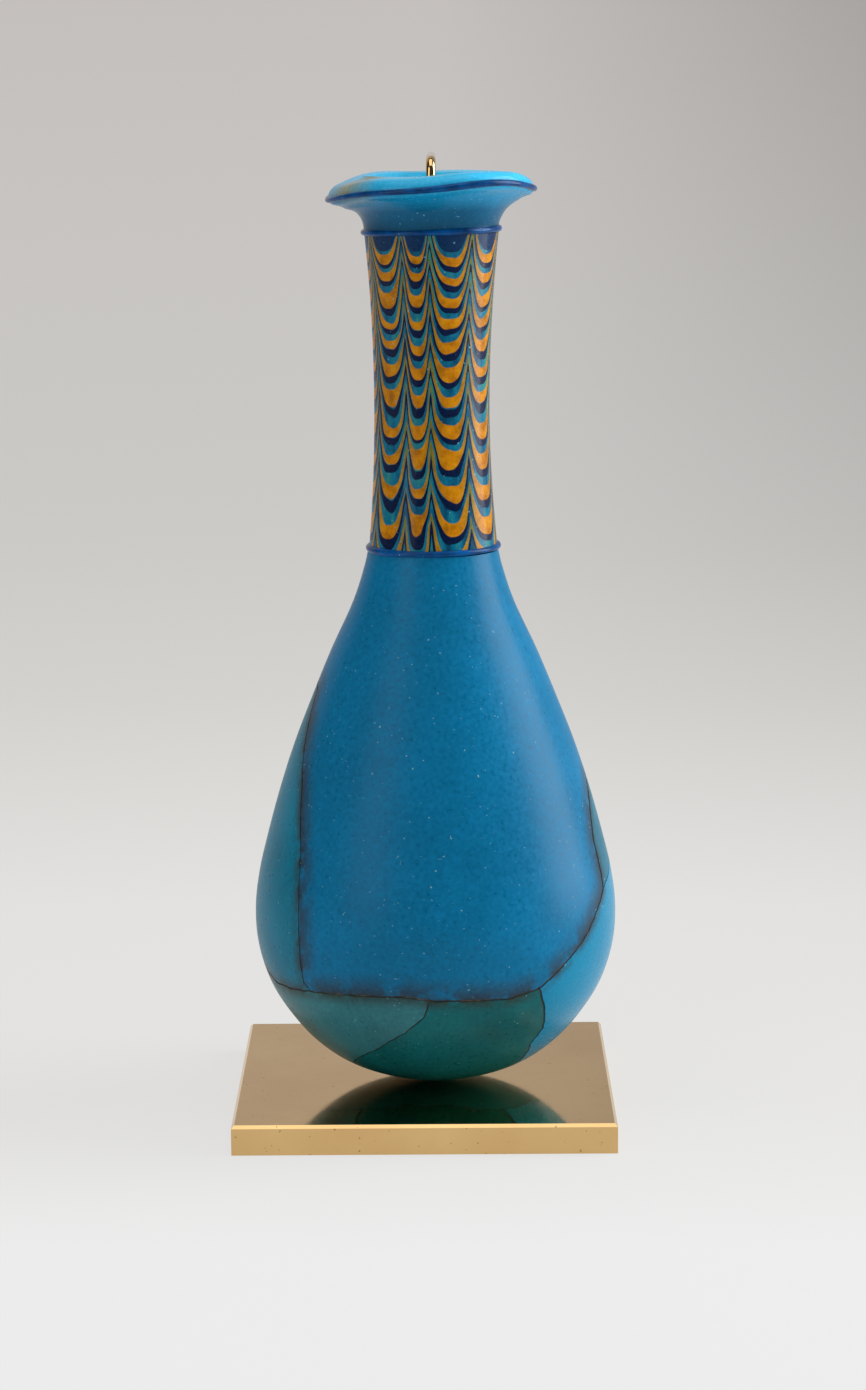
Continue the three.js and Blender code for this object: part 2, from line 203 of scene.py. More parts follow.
# Neck glass with trails pressed in while hot and combed into swags: crisp colours in one smooth skin
def combedGlass():
    material, tree, shader = newMaterial("combed_glass")
    place = addNode(tree, "TexCoord", {}, "Object")
    row = addNode(tree, "Attribute", {}, "Fac", attribute_name="combRow")
    edge = addNode(tree, "Attribute", {}, "Fac", attribute_name="combEdge")

    # Where a point lies between two rows, with yellow at 0.5
    swayNoise = addNode(tree, "TexNoise", noiseOf(place, comb["swayMm"], 1), "Fac")
    rippleNoise = addNode(tree, "TexNoise", noiseOf(place, comb["rippleMm"], 1), "Fac")
    middle = 10.5 - (comb["sway"] + comb["ripple"]) / 2
    started = addNode(tree, "Math", {0: row, 1: middle}, operation="ADD")
    swayed = addNode(tree, "Math", {0: swayNoise, 1: comb["sway"], 2: started}, operation="MULTIPLY_ADD")
    rippled = addNode(tree, "Math", {0: rippleNoise, 1: comb["ripple"], 2: swayed}, operation="MULTIPLY_ADD")
    phase = addNode(tree, "Math", {0: rippled}, operation="FRACT")

    # Yellow trail, thick in the belly of a swag and thin at its cusps
    offYellow = addNode(tree, "Math", {0: phase, 1: 0.5}, operation="SUBTRACT")
    fromYellow = addNode(tree, "Math", {0: offYellow}, operation="ABSOLUTE")
    yellowNoise = addNode(tree, "TexNoise", noiseOf(place, comb["yellowMm"], 1), "Fac")
    nearCusp = addNode(tree, "Math", {0: edge, 1: 5.0}, operation="POWER")
    thinned = addNode(tree, "Math", {0: nearCusp, 1: -comb["cuspThin"], 2: comb["yellowHalf"]},
                      operation="MULTIPLY_ADD")
    yellowHalf = addNode(tree, "Math", {0: yellowNoise, 1: comb["yellowSwell"], 2: thinned},
                         operation="MULTIPLY_ADD")
    inYellow = addNode(tree, "Math", {0: yellowHalf, 1: fromYellow}, operation="SUBTRACT")
    yellow = addNode(tree, "Math", {0: inYellow, 1: comb["yellowEdge"]},
                     operation="MULTIPLY", use_clamp=True)

    # Dark blue trail below it
    offNavy = addNode(tree, "Math", {0: phase, 1: comb["navyPlace"]}, operation="SUBTRACT")
    fromNavy = addNode(tree, "Math", {0: offNavy}, operation="ABSOLUTE")
    navyNoise = addNode(tree, "TexNoise", noiseOf(place, comb["navyMm"], 1), "Fac")
    navyHalf = addNode(tree, "Math", {0: navyNoise, 1: comb["navySwell"], 2: comb["navyHalf"]},
                       operation="MULTIPLY_ADD")
    inNavy = addNode(tree, "Math", {0: navyHalf, 1: fromNavy}, operation="SUBTRACT")
    navy = addNode(tree, "Math", {0: inNavy, 1: comb["navyEdge"]},
                   operation="MULTIPLY", use_clamp=True)

    # Colours: the ground is drawn out downwards, and the yellow turns olive where it is drawn thin
    drawnOut = addNode(tree, "Mapping", {"Vector": place, "Scale": (1, 1, 0.25)})
    groundNoise = addNode(tree, "TexNoise", noiseOf(drawnOut, 2.5, 4), "Fac")
    ground = addNode(tree, "ValToRGB", {"Fac": groundNoise}, "Color",
                     list(zip((0.35, 0.52, 0.68), map(toLinear, comb["ground"]))))
    trailed = addNode(tree, "Mix", {"Factor": navy, 6: ground, 7: toLinear(comb["navy"])}, 2, **cover)
    toneNoise = addNode(tree, "TexNoise", noiseOf(place, 2.0, 3), "Fac")
    tone = addNode(tree, "ValToRGB", {"Fac": toneNoise}, "Color",
                   list(zip((0.3, 0.5, 0.7), map(toLinear, comb["yellow"]))))
    thin = addNode(tree, "Math", {0: edge, 1: 3.0}, operation="POWER")
    ochre = addNode(tree, "Mix", {"Factor": thin, 6: tone, 7: toLinear(comb["cusp"])}, 2, **cover)
    belowStart = addNode(tree, "Math", {0: row, 1: 0.5}, operation="ADD")
    inRows = addNode(tree, "Math", {0: belowStart, 1: 20.0}, operation="MULTIPLY", use_clamp=True)
    banded = addNode(tree, "Mix", {"Factor": inRows, 6: toLinear(comb["aboveRows"]), 7: trailed}, 2, **cover)
    shown = addNode(tree, "Math", {0: yellow, 1: inRows}, operation="MULTIPLY")
    colour = addNode(tree, "Mix", {"Factor": shown, 6: banded, 7: ochre}, 2, **cover)
    weatherGlass(tree, shader, colour, comb)
    return material


# The lip's colours by height run from painted shade at its foot to a painted highlight on its top
lipGlass = {
    "paintedLightTones": [(0.0, "#023f5c"), (0.42, "#035a80"), (0.66, "#0f8cbc"), (1.0, "#38b4e0")],
    "stain": "#8f8440", "stainCover": 0.8, "cloud": 0.10, "grain": 0.08, "rough": 0.24, "coat": 0.06,
}


# Glass of the lip, worked hot and thinned, with an ochre stain at the left; it is darker below with painted
# shade and lighter on top with a painted highlight
def rimGlass():
    material, tree, shader = newMaterial("rim_glass")
    height = addNode(tree, "Attribute", {}, "Fac", attribute_name="lipHeight")
    paintedLightTones = [(at, toLinear(colour)) for at, colour in lipGlass["paintedLightTones"]]
    # Painted shade below and a painted highlight on top, set by the lip's height
    tone = addNode(tree, "ValToRGB", {"Fac": height}, "Color", paintedLightTones)
    near = addNode(tree, "Attribute", {}, "Fac", attribute_name="lipStain")
    stain = addNode(tree, "Math", {0: near, 1: lipGlass["stainCover"]}, operation="MULTIPLY")
    colour = addNode(tree, "Mix", {"Factor": stain, 6: tone, 7: toLinear(lipGlass["stain"])}, 2, **cover)
    weatherGlass(tree, shader, colour, lipGlass)
    return material


threadLook = {"dark": "#032c58", "light": "#034f8e", "cloud": 0.1, "grain": 0.1, "rough": 0.22, "coat": 0.08}


# Dark blue thread of glass, fire-polished, so it stays glossier than the wall
def threadGlass():
    material, tree, shader = newMaterial("dark_thread_glass")
    place = addNode(tree, "TexCoord", {}, "Object")
    streak = addNode(tree, "TexNoise", noiseOf(place, 3.0, 3), "Fac")
    colour = addNode(tree, "ValToRGB", {"Fac": streak}, "Color",
                     [(0.3, toLinear(threadLook["dark"])), (0.7, toLinear(threadLook["light"]))])
    weatherGlass(tree, shader, colour, threadLook)
    return material


# Old joint filler and dirt in the cracks: matt, dark brown to greenish grey
def crackFiller():
    material, tree, shader = newMaterial("crack_filler")
    place = addNode(tree, "TexCoord", {}, "Object")
    crumbs = addNode(tree, "TexNoise", noiseOf(place, 2.2, 4), "Fac")
    colour = addNode(tree, "ValToRGB", {"Fac": crumbs}, "Color",
                     [(0.35, toLinear("#171a18")), (0.55, toLinear("#332c20")), (0.7, toLinear("#5f5038"))])
    feed(tree, shader, {"Base Color": colour, "Roughness": 0.75})
    return material


# Bar brass, milled and polished: mirror finish with faint haze, pits and a few stains
def polishedBrass():
    material, tree, shader = newMaterial("polished_brass")
    place = addNode(tree, "TexCoord", {}, "Object")
    stains = addNode(tree, "TexNoise", noiseOf(place, 18, 4), "Fac")
    metal = addNode(tree, "ValToRGB", {"Fac": stains}, "Color",
                    [(0.35, toLinear("#d6b077")), (0.65, toLinear("#ddb980"))])
    pitNoise = addNode(tree, "TexNoise", noiseOf(place, 0.8, 1), "Fac")
    pits = addNode(tree, "ValToRGB", {"Fac": pitNoise}, "Color", [(0.735, grey(0)), (0.755, grey(1))])
    pitted = addNode(tree, "Math", {0: pits, 1: 0.5}, operation="MULTIPLY")
    colour = addNode(tree, "Mix", {"Factor": pitted, 6: metal, 7: toLinear("#6b4a22")}, 2, **cover)
    haze = addNode(tree, "TexNoise", noiseOf(place, 6, 4), "Fac")
    rough = addNode(tree, "ValToRGB", {"Fac": haze}, "Color", [(0.3, grey(0.045)), (0.7, grey(0.10))])
    scratches = addNode(tree, "TexNoise", noiseOf(place, 0.5, 2), "Fac")
    bump = addNode(tree, "Bump", {"Height": scratches, "Strength": 0.06, "Distance": 0.05 * mm})
    feed(tree, shader, {"Base Color": colour, "Metallic": 1.0, "Roughness": rough, "Normal": bump})
    return material


# A smooth curve through the stations, with perSpan points from each to the next
def smoothCurve(stations, perSpan):
    points = []
    last = len(stations) - 1
    for i in range(last):
        nearby = (stations[max(0, i - 1)], stations[i], stations[i + 1], stations[min(last, i + 2)])
        for step in range(perSpan):
            t = step / perSpan
            point = []
            for a, b, c, d in zip(*nearby):
                v0 = (c - a) / 2
                v1 = (d - b) / 2
                cubic = (2 * b - 2 * c + v0 + v1) * t ** 3
                square = (3 * c - 3 * b - 2 * v0 - v1) * t * t
                point.append(cubic + square + v0 * t + b)
            points.append(tuple(point))
    points.append(stations[-1])
    return points


bodyOutline = smoothCurve(body["outline"], body["perSpan"])


def bodyRadius(height):
    for low, high in zip(bodyOutline, bodyOutline[1:]):
        if height <= high[0]:
            return low[1] + (high[1] - low[1]) * (height - low[0]) / (high[0] - low[0])
    return body["topRadius"]


# Point at an angle from the front, a radius from the bottle's axis and a height above its foot
def around(angle, radius, height):
    return Vector((
        (body["axisX"] + radius * math.sin(angle)) * mm,
        (body["axisY"] - radius * math.cos(angle)) * mm,
        (body["foot"] + height) * mm))


# The angle, radius and height of a point on the bottle
def placeOf(point):
    x = point.x / mm - body["axisX"]
    y = point.y / mm - body["axisY"]
    return math.atan2(x, -y), math.hypot(x, y), point.z / mm - body["foot"]


def finishMesh(name, mesh, smooth=True):
    bmesh.ops.recalc_face_normals(mesh, faces=mesh.faces)
    data = bpy.data.meshes.new(name)
    mesh.to_mesh(data)
    mesh.free()
    for polygon in data.polygons:
        polygon.use_smooth = smooth
    piece = bpy.data.objects.new(name, data)
    bpy.context.scene.collection.objects.link(piece)
    return piece


# Spins a closed outline of (radius, height) points round the bottle's axis. shift moves each vertex by a
# radius and a height that it works out from its place.
def turned(name, outline, steps, shift=None):
    mesh = bmesh.new()
    corners = [mesh.verts.new(around(0, radius, height)) for radius, height in outline]
    sides = [mesh.edges.new(pair) for pair in zip(corners, corners[1:] + corners[:1])]
    bmesh.ops.spin(mesh, geom=corners + sides, cent=around(0, 0, 0), axis=(0, 0, 1), dvec=(0, 0, 0),
                   angle=fullTurn, steps=steps, use_merge=True, use_duplicate=False)
    if shift:
        for vertex in mesh.verts:
            angle, radius, height = placeOf(vertex.co)
            outward, upward = shift(angle, radius, height)
            vertex.co = around(angle, radius + outward, height + upward)
    return finishMesh(name, mesh)


def dress(piece, material, rides, slot, *nodes):
    piece.data.materials.clear()
    piece.data.materials.append(material)
    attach(piece, rides)
    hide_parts(*nodes)


# Writes a number on each vertex, worked out from its place
def measured(piece, name, value):
    layer = piece.data.attributes.new(name, "FLOAT", "POINT")
    for vertex, item in zip(piece.data.vertices, layer.data):
        item.value = value(vertex.co)


# Smooth shading that stays crisp at the broken edges
def shadeByAngle(piece, degrees=35):
    mesh = bmesh.new()
    mesh.from_mesh(piece.data)
    for edge in mesh.edges:
        edge.smooth = edge.calc_face_angle(0) < math.radians(degrees)
    mesh.to_mesh(piece.data)
    mesh.free()


def boolean(piece, other, operation):
    modifier = piece.modifiers.new("cut", "BOOLEAN")
    modifier.operation = operation
    modifier.solver = "MANIFOLD"
    modifier.object = other
    depsgraph = bpy.context.evaluated_depsgraph_get()
    result = bpy.data.meshes.new_from_object(piece.evaluated_get(depsgraph))
    piece.modifiers.clear()
    old = piece.data
    piece.data = result
    bpy.data.meshes.remove(old)


def discard(piece):
    data = piece.data
    bpy.data.objects.remove(piece)
    bpy.data.meshes.remove(data)


# Each crack runs through places given as degrees round from the front and heights above the foot
cracks = {
    "left": [(-80, 68), (-60, 53), (-52, 43.6), (-48.5, 35.8), (-47, 27.5), (-47.5, 21.4), (-45, 20.2)],
    "belly": [(-120, 24), (-98, 21.5), (-82, 20.7), (-68, 19.3), (-56, 19.5), (-45, 20.2), (-28, 20.9),
              (-11, 21.4), (-2, 20.8), (11, 20.6), (24, 20.3), (35, 21.4)],
    "right": [(35, 21.4), (43, 24.3), (52, 27.7), (61, 31.8), (69, 35), (69.5, 38.4), (70, 43.4),
              (75, 47.9), (83, 51.5)],
    "second": [(69, 35), (90, 38.6), (125, 33), (160, 25)],
    "shoulder": [(83, 51.5), (112, 60), (145, 66), (180, 69), (220, 71), (255, 70), (280, 68)],
    "backBelly": [(160, 25), (200, 22), (240, 24)],
    "backSeam": [(180, 69), (172, 52), (176, 38), (160, 25)],
    "lowerRight": [(35, 21.4), (39.5, 17.4), (44, 13), (42.5, 10), (48, 6.3), (52, 3.2)],
    "lowerMiddle": [(-2, 20.8), (-4, 17.6), (-11, 14.4), (-26, 10), (-44.5, 6.4), (-60, 3.4)],
    "foot": [(-60, 3.4), (-30, 2.0), (10, 1.9), (52, 3.2)],
    "lowerBack": [(160, 25), (148, 14), (120, 7), (85, 4), (52, 3.2)],
    "lowerSide": [(-120, 24), (-112, 12), (-92, 6), (-60, 3.4)],
}
crackSizes = {
    "width": 0.24, "wide": {"right": 0.45, "belly": 0.32, "lowerRight": 0.42}, "spacing": 0.9,
    "waver": 0.10, "centreHeight": 30, "reachIn": 7, "reachOut": 2, "overrun": 0.7,
    "fillerSlack": 0.02, "fillerSink": 0.12, "fillerTop": 90.0, "dirty": ("right", "belly", "left"),
    "crumb": 200,  # vertices, below which a loose part is a crumb of a cut and is left out
}


# The crack on the surface, in small steps with the slight waver of broken glass
def crackPoints(line):
    points = []
    for (a0, h0), (a1, h1) in zip(line, line[1:]):
        first = around(math.radians(a0), bodyRadius(h0), h0)
        last = around(math.radians(a1), bodyRadius(h1), h1)
        steps = max(1, round((last - first).length / (crackSizes["spacing"] * mm)))
        for step in range(steps):
            t = step / steps
            drift = crackSizes["waver"] if step else 0
            height = h0 + (h1 - h0) * t + random.uniform(-drift, drift)
            angle = a0 + (a1 - a0) * t + random.uniform(-drift, drift) * 2
            points.append(around(math.radians(angle), bodyRadius(height), height))
    endAngle, endHeight = line[-1]
    points.append(around(math.radians(endAngle), bodyRadius(endHeight), endHeight))
    return points


# A thin wall through the glass along the crack, ruled from the middle of the belly
def curtain(name, points, width):
    centre = around(0, 0, crackSizes["centreHeight"])
    points = list(points)
    overrun = width * crackSizes["overrun"] * mm
    points[0] = points[0] + (points[0] - points[1]).normalized() * overrun
    points[-1] = points[-1] + (points[-1] - points[-2]).normalized() * overrun
    mesh = bmesh.new()
    rings = []
    for i, point in enumerate(points):
        along = points[min(len(points) - 1, i + 1)] - points[max(0, i - 1)]
        outward = (point - centre).normalized()
        side = along.cross(outward).normalized() * width / 2 * mm
        inner = point - outward * crackSizes["reachIn"] * mm
        outer = point + outward * crackSizes["reachOut"] * mm
        rings.append([mesh.verts.new(p) for p in (inner + side, inner - side, outer - side, outer + side)])
    for here, after in zip(rings, rings[1:]):
        for k in range(4):
            n = (k + 1) % 4
            mesh.faces.new((here[k], here[n], after[n], after[k]))
    mesh.faces.new(rings[0][::-1])
    mesh.faces.new(rings[-1])
    return finishMesh(name, mesh, False)


# The body's wall, sunk below its outer surface by sink and cut off at a height
def bodyShell(name, sink, topCut):
    wall = body["wall"]
    bore = body["bore"]
    pole = body["pole"]
    shoulder = body["top"] - wall
    skin = [(radius - sink, height) for height, radius in bodyOutline
            if radius > body["skinFrom"] and height < topCut]
    inside = [(max(radius - wall, bore), height) for height, radius in bodyOutline[::4]
              if body["insideFrom"] < height < shoulder - body["insideBelowTop"]
              and radius - wall > body["insideLeast"]]
    outline = [(pole, sink * 0.5), *skin, (bodyRadius(topCut) - sink, topCut), (bore, topCut),
               (bore, shoulder - body["boreStart"]), *inside[::-1], (pole, wall + body["floorGap"])]
    return turned(name, outline, body["steps"])


# The vertex numbers of each separate part of a mesh
def looseParts(piece):
    mesh = bmesh.new()
    mesh.from_mesh(piece.data)
    seen = set()
    groups = []
    mesh.verts.ensure_lookup_table()
    for start in mesh.verts:
        if start.index in seen:
            continue
        stack = [start]
        seen.add(start.index)
        group = []
        while stack:
            vertex = stack.pop()
            group.append(vertex.index)
            for edge in vertex.link_edges:
                other = edge.other_vert(vertex)
                if other.index not in seen:
                    seen.add(other.index)
                    stack.append(other)
        groups.append(group)
    mesh.free()
    return groups


def splitOff(piece, indices, name):
    keep = set(indices)
    mesh = bmesh.new()
    mesh.from_mesh(piece.data)
    bmesh.ops.delete(mesh, geom=[v for v in mesh.verts if v.index not in keep], context="VERTS")
    return finishMesh(name, mesh)


def pointTree(points):
    tree = KDTree(len(points))
    for i, point in enumerate(points):
        tree.insert(point, i)
    tree.balance()
    return tree


# Cuts the body's wall along its cracks, and fills each crack with a strip of filler
def buildBody():
    print("body")
    lines = {name: crackPoints(line) for name, line in cracks.items()}
    shell = bodyShell("shell", 0, body["topCut"])
    filler = bodyShell("filler", crackSizes["fillerSink"], crackSizes["fillerTop"])
    strips = []
    for name, points in lines.items():
        width = crackSizes["wide"].get(name, crackSizes["width"])
        cutter = curtain("cutter", points, width)
        boolean(shell, cutter, "DIFFERENCE")
        discard(cutter)
        strip = bpy.data.objects.new("strip", filler.data.copy())
        bpy.context.scene.collection.objects.link(strip)
        inCrack = curtain("inCrack", points, width - crackSizes["fillerSlack"])
        boolean(strip, inCrack, "INTERSECT")
        discard(inCrack)
        strips.append(strip)
    discard(filler)
    splitShell(shell, [point for name in crackSizes["dirty"] for point in lines[name]])
    discard(shell)
    joinStrips(strips)


# Makes each fragment of the cut shell its own piece, with its distance from the dirty cracks
def splitShell(shell, dirtPoints):
    groups = [group for group in looseParts(shell) if len(group) > crackSizes["crumb"]]
    print("fragments", [len(group) for group in groups])
    coords = [vertex.co.copy() for vertex in shell.data.vertices]
    tree = pointTree(dirtPoints)
    for name, look in fragments.items():
        degrees, height = look["heart"]
        heart = around(math.radians(degrees), bodyRadius(height), height)
        best = min(groups, key=lambda group: min((coords[i] - heart).length for i in group))
        piece = splitOff(shell, best, name)
        shadeByAngle(piece)
        reach = look["dirtMm"] * mm
        measured(piece, "crackDirt", lambda point: max(0, 1 - tree.find(point)[2] / reach))
        slot = "restoration_resin" if name == "lower_right_fill" else "turquoise_glass"
        dress(piece, coredGlass(name + "_glass", look), "bottle", slot, name)


def joinStrips(strips):
    mesh = bmesh.new()
    for strip in strips:
        mesh.from_mesh(strip.data)
        discard(strip)
    piece = finishMesh("crack_filler", mesh, False)
    dress(piece, crackFiller(), "bottle", "joint_filler", "joint_fill")


# cusps are the angles, in degrees, where the comb drew the trails up
neck = {
    "bottom": 91.2, "narrowHeight": 115, "narrowRadius": 9.6, "top": 143.5, "topRadius": 11.1,
    "overlap": 0.2, "waver": 0.05, "waverPitch": 9, "waverFrom": 8, "rings": 250, "steps": 300,
    "cusps": [-138, -101, -64.6, -26, -1.6, 37.7, 80, 116, 152, 188, 222], "cuspLift": 7.5, "cuspPower": 3.2,
    "firstRow": 139.6, "rowStep": 3.0, "rowGrowth": 0.137, "aboveFirst": 4,
}


def neckRadius(height):
    narrow = neck["narrowHeight"]
    below = height < narrow
    span = narrow - body["top"] if below else neck["top"] - narrow
    swell = (body["topRadius"] if below else neck["topRadius"]) - neck["narrowRadius"]
    return neck["narrowRadius"] + swell * ((height - narrow) / span) ** 2


# Place between two cusps, from -1 to 1
def swagPlace(angle):
    cusps = neck["cusps"]
    degrees = math.degrees(angle)
    if degrees < cusps[0]:
        degrees += 360
    for left, right in zip(cusps, cusps[1:]):
        if degrees <= right:
            return 2 * (degrees - left) / (right - left) - 1
    return 1


# Which row of the decoration lies at a place, counted down from the top. The rows widen downwards.
def combRow(point):
    angle, radius, height = placeOf(point)
    lift = neck["cuspLift"] * abs(swagPlace(angle)) ** neck["cuspPower"]
    drop = max(-neck["aboveFirst"], neck["firstRow"] - (height - lift))
    inside = max(0, neck["rowStep"] ** 2 + 4 * neck["rowGrowth"] * drop)
    return (math.sqrt(inside) - neck["rowStep"]) / (2 * neck["rowGrowth"])


def neckWaver(angle, radius, height):
    outside = radius > neck["waverFrom"]
    return (neck["waver"] * math.sin(3 * angle + height / neck["waverPitch"]) if outside else 0), 0


def buildNeck():
    print("neck")
    low = neck["bottom"]
    high = neck["top"] + neck["overlap"]
    heights = [low + (high - low) * i / neck["rings"] for i in range(neck["rings"] + 1)]
    outline = [(neckRadius(height), height) for height in heights]
    outline += [(body["bore"], high), (body["bore"], low)]
    piece = turned("combed_neck", outline, neck["steps"], neckWaver)
    measured(piece, "combRow", combRow)
    measured(piece, "combEdge", lambda point: abs(swagPlace(placeOf(point)[0])))
    shadeByAngle(piece)
    dress(piece, combedGlass(), "bottle", "turquoise_glass",
          "neck", "yellow_combed_trail", "blue_combed_trail")


lip = {
    "edgeHeight": 151.0, "edgeRadius": 17.0, "crestHeight": 153.2, "crestRadius": 12.6,
    "funnelDepth": 6, "flareStart": 2.5, "flareEase": 3, "ripple": 0.12, "ripples": 7,
    "perSpan": 8, "steps": 260,
    "stainAngle": -1.0, "stainWidth": 0.45, "stainHeight": 148.5, "stainRise": 1.5,
}


# How far the lip's edge waves up and down
def lipWave(angle):
    return (-0.25 + 0.8 * math.sin(angle) + 0.35 * math.sin(2 * angle)
            + 0.65 * math.cos(2 * angle) - 0.3 * math.cos(4 * angle))


def rimShift(angle, radius, height):
    start = neck["top"] + lip["flareStart"]
    if height < start:
        return 0, 0
    share = (radius - neck["topRadius"]) / (lip["edgeRadius"] - neck["topRadius"])
    share = min(1, max(0, share))
    ease = min(1, (height - start) / lip["flareEase"])
    ripple = lip["ripple"] * math.sin(lip["ripples"] * angle)
    return 0, (lipWave(angle) * math.sqrt(share) + ripple * share) * ease


def lipHeight(point):
    height = placeOf(point)[2]
    return min(1, max(0, (height - neck["top"]) / (lip["crestHeight"] - neck["top"])))


def lipStain(point):
    angle, radius, height = placeOf(point)
    beside = max(0, 1 - abs(angle - lip["stainAngle"]) / lip["stainWidth"])
    return beside * max(0, min(1, (height - lip["stainHeight"]) / lip["stainRise"]))


def buildRim():
    print("rim")
    foot = neck["top"] + neck["overlap"]
    edge = lip["edgeHeight"]
    reach = lip["edgeRadius"]
    crest = lip["crestHeight"]
    bore = body["bore"]
    stations = [
        (foot, neck["topRadius"]), (neck["top"] + 2.0, neck["topRadius"] + 0.25),
        (neck["top"] + 4.2, neck["topRadius"] + 1.5), (edge - 1.5, reach - 2.2), (edge - 0.7, reach - 0.5),
        (edge + 0.1, reach - 0.1), (edge + 1.1, reach - 0.25), (edge + 1.9, reach - 1.1),
        (crest, reach - 2.6), (crest - 0.05, lip["crestRadius"] - 0.6),
        (crest - 0.4, lip["crestRadius"] - 2),
        (crest - 2.6, bore + 1.6), (crest - lip["funnelDepth"], bore), (foot, bore),
    ]
    outline = [(radius, height) for height, radius in smoothCurve(stations, lip["perSpan"])]
    piece = turned("rim_lip", outline, lip["steps"], rimShift)
    measured(piece, "lipHeight", lipHeight)
    measured(piece, "lipStain", lipStain)
    dress(piece, rimGlass(), "bottle", "turquoise_glass", "rim")


threads = {
    "neck_base_ring": {"node": "neck_base_thread", "height": 91.5, "radius": body["topRadius"] + 0.05,
                       "thick": 0.55, "wave": lambda angle: 0.12 * math.sin(angle)},
    "collar_ring": {"node": "collar_thread", "height": 144.0, "radius": neck["topRadius"] + 0.05,
                    "thick": 0.5, "wave": lambda angle: 0.3 * math.sin(angle + 0.3)},
    "rim_edge_ring": {"node": "rim_edge_thread", "height": lip["edgeHeight"] + 0.1,
                      "radius": lip["edgeRadius"], "thick": 0.5, "wave": lipWave},
}
threadMake = {"steps": 220, "sides": 12, "longSwell": 0.12, "shortSwell": 0.08}


# Round threads of glass laid about the bottle, a little thicker in some places than in others
def buildThreads():
    print("threads")
    for name, thread in threads.items():
        middle = thread["radius"]
        level = thread["height"]

        def swollen(angle, radius, height):
            growth = threadMake["longSwell"] * math.sin(2 * angle + level)
            growth += threadMake["shortSwell"] * math.sin(5 * angle)
            return (radius - middle) * growth, (height - level) * growth + thread["wave"](angle)

        turns = [side / threadMake["sides"] * fullTurn for side in range(threadMake["sides"])]
        outline = [(middle + thread["thick"] * math.cos(turn), level + thread["thick"] * math.sin(turn))
                   for turn in turns]
        piece = turned(name, outline, threadMake["steps"], swollen)
        dress(piece, darkThread, "bottle", "dark_blue_glass", thread["node"])


# The vertices and the edges of a ring that an operator gave back
def ringOf(geometry):
    corners = {item for item in geometry if isinstance(item, bmesh.types.BMVert)}
    edges = [item for item in geometry if isinstance(item, bmesh.types.BMEdge)]
    return list(corners), [edge for edge in edges if corners.issuperset(edge.verts)]


# Pulls a row of edges straight on, and gives back the new row
def drawOut(mesh, sides, move):
    corners, grown = ringOf(bmesh.ops.extrude_edge_only(mesh, edges=sides)["geom"])
    bmesh.ops.translate(mesh, verts=corners, vec=move)
    return grown


# Sweeps a row of edges through a quarter turn about the X direction, and gives back the last row
def bendOver(mesh, sides, centre, steps):
    corners = list({corner for side in sides for corner in side.verts})
    swept = bmesh.ops.spin(mesh, geom=corners + list(sides), cent=centre, axis=(1, 0, 0), dvec=(0, 0, 0),
                           angle=quarterTurn, steps=steps, use_merge=False, use_duplicate=False)
    return ringOf(swept["geom_last"])[1]


hook = {"wireRadius": 0.8, "slack": 0.01, "top": 161.3, "legInside": 4.2, "legDrop": 12, "bend": 2.2,
        "sides": 24, "bendSteps": 8}


# Hook, bent from round brass wire: up from the post, over the rim and down inside the mouth
def buildHook():
    print("hook")
    low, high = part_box("hook_wire")
    wire = hook["wireRadius"] * mm
    centreX = body["axisX"] * mm
    rearY = high[1] - wire
    frontY = (body["axisY"] + hook["legInside"]) * mm
    arm = hook["top"] * mm - wire
    bend = hook["bend"] * mm
    mesh = bmesh.new()
    bmesh.ops.create_circle(mesh, segments=hook["sides"], radius=wire - hook["slack"] * mm, cap_ends=False,
                            matrix=Matrix.Translation((centreX, rearY, low[2])))
    ring = drawOut(mesh, mesh.edges[:], (0, 0, arm - bend - low[2]))
    ring = bendOver(mesh, ring, (centreX, rearY - bend, arm - bend), hook["bendSteps"])
    ring = drawOut(mesh, ring, (0, frontY - rearY + 2 * bend, 0))
    ring = bendOver(mesh, ring, (centreX, frontY + bend, arm - bend), hook["bendSteps"])
    drawOut(mesh, ring, (0, 0, bend - hook["legDrop"] * mm))
    bmesh.ops.holes_fill(mesh, edges=mesh.edges[:], sides=0)
    piece = finishMesh("wire_hook", mesh)
    shadeByAngle(piece)
    dress(piece, brass, "hook", "polished_brass", "hook_wire")


# The camera's place is in millimetres and its turns in degrees. focal, high and wide are in pixels.
camera = {"place": (3.103, -594.5, 177.09), "down": 10.121, "right": -0.125, "roll": -0.383,
          "focal": 3563.6, "high": 1390, "wide": 866, "sensor": 36}

# Seamless paper, in metres. Its tones down the picture are painted shade, grey at the top and white at the
# bottom, corner paints shade on its upper right, and its glow share is the share of the colour that it shows
# as a painted glow whatever light falls on it.
paper = {
    "halfWidth": 2.2, "front": -0.57, "bendStart": 0.7, "bendRadius": 0.7, "top": 2.4, "drop": 0.00005,
    "columns": 24, "rows": 40, "bendSteps": 32, "corner": 0.33, "own": 0.85,
    "paintedLightTones": [(0.0, "#c8c3c0"), (0.36, "#cfcdca"), (0.5, "#d4d3cf"), (0.65, "#e3e2e0"), (0.79, "#e5e4e2"),
              (0.9, "#ededed")],
}


# Where a place lies in the picture: down it and across it, from 0 to 1
def pictureDown(point):
    away = point - Vector(camera["place"]) * mm
    tilt = math.degrees(math.atan2(-away.z, max(0.02, away.y))) - camera["down"]
    tilt = math.radians(max(-40, min(40, tilt)))
    return 0.5 + math.tan(tilt) * camera["focal"] / camera["high"]


def pictureAcross(point):
    away = point - Vector(camera["place"]) * mm
    return 0.5 + away.x / max(0.02, away.y) * camera["focal"] / camera["wide"]
